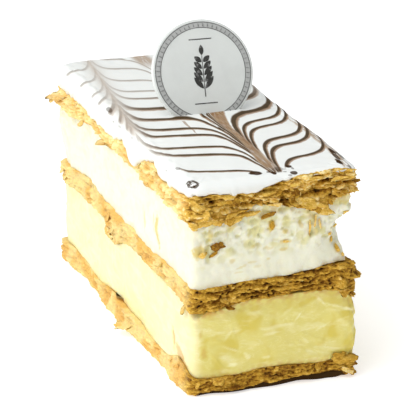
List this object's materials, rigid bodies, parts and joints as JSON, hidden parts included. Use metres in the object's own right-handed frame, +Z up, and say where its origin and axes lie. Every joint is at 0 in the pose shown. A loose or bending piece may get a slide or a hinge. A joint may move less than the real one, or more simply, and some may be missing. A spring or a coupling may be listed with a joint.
{
  "type": "mille-feuille",
  "caption": "Cut slice of double cream mille-feuille: puff pastry leaves with custard and whipped cream between, feathered fondant on top and a thin round plaque stood in it.",
  "frame": {"origin": "middle of the base that the slice rests on", "axes": "+Z up, +Y along the slice's length away from the front cut end, +X across its width to the right as seen from the front"},
  "size_m": [0.0614, 0.1286, 0.0912],
  "materials": {
    "pastry": "baked golden brown leaves, matte",
    "custard": "set custard, smooth, softly glossy",
    "whipped_cream": "whipped cream, airy, matte",
    "icing": "poured fondant icing, glossy, feathered in dark brown",
    "plaque": "moulded white chocolate, satin, with a printed ring"
  },
  "bodies": {
    "root": {"bottom_pastry": "pastry", "custard": "custard", "middle_pastry": "pastry", "whipped_cream": "whipped_cream", "top_pastry": "pastry", "icing": "icing", "plaque": "plaque"}
  },
  "joints": []
}
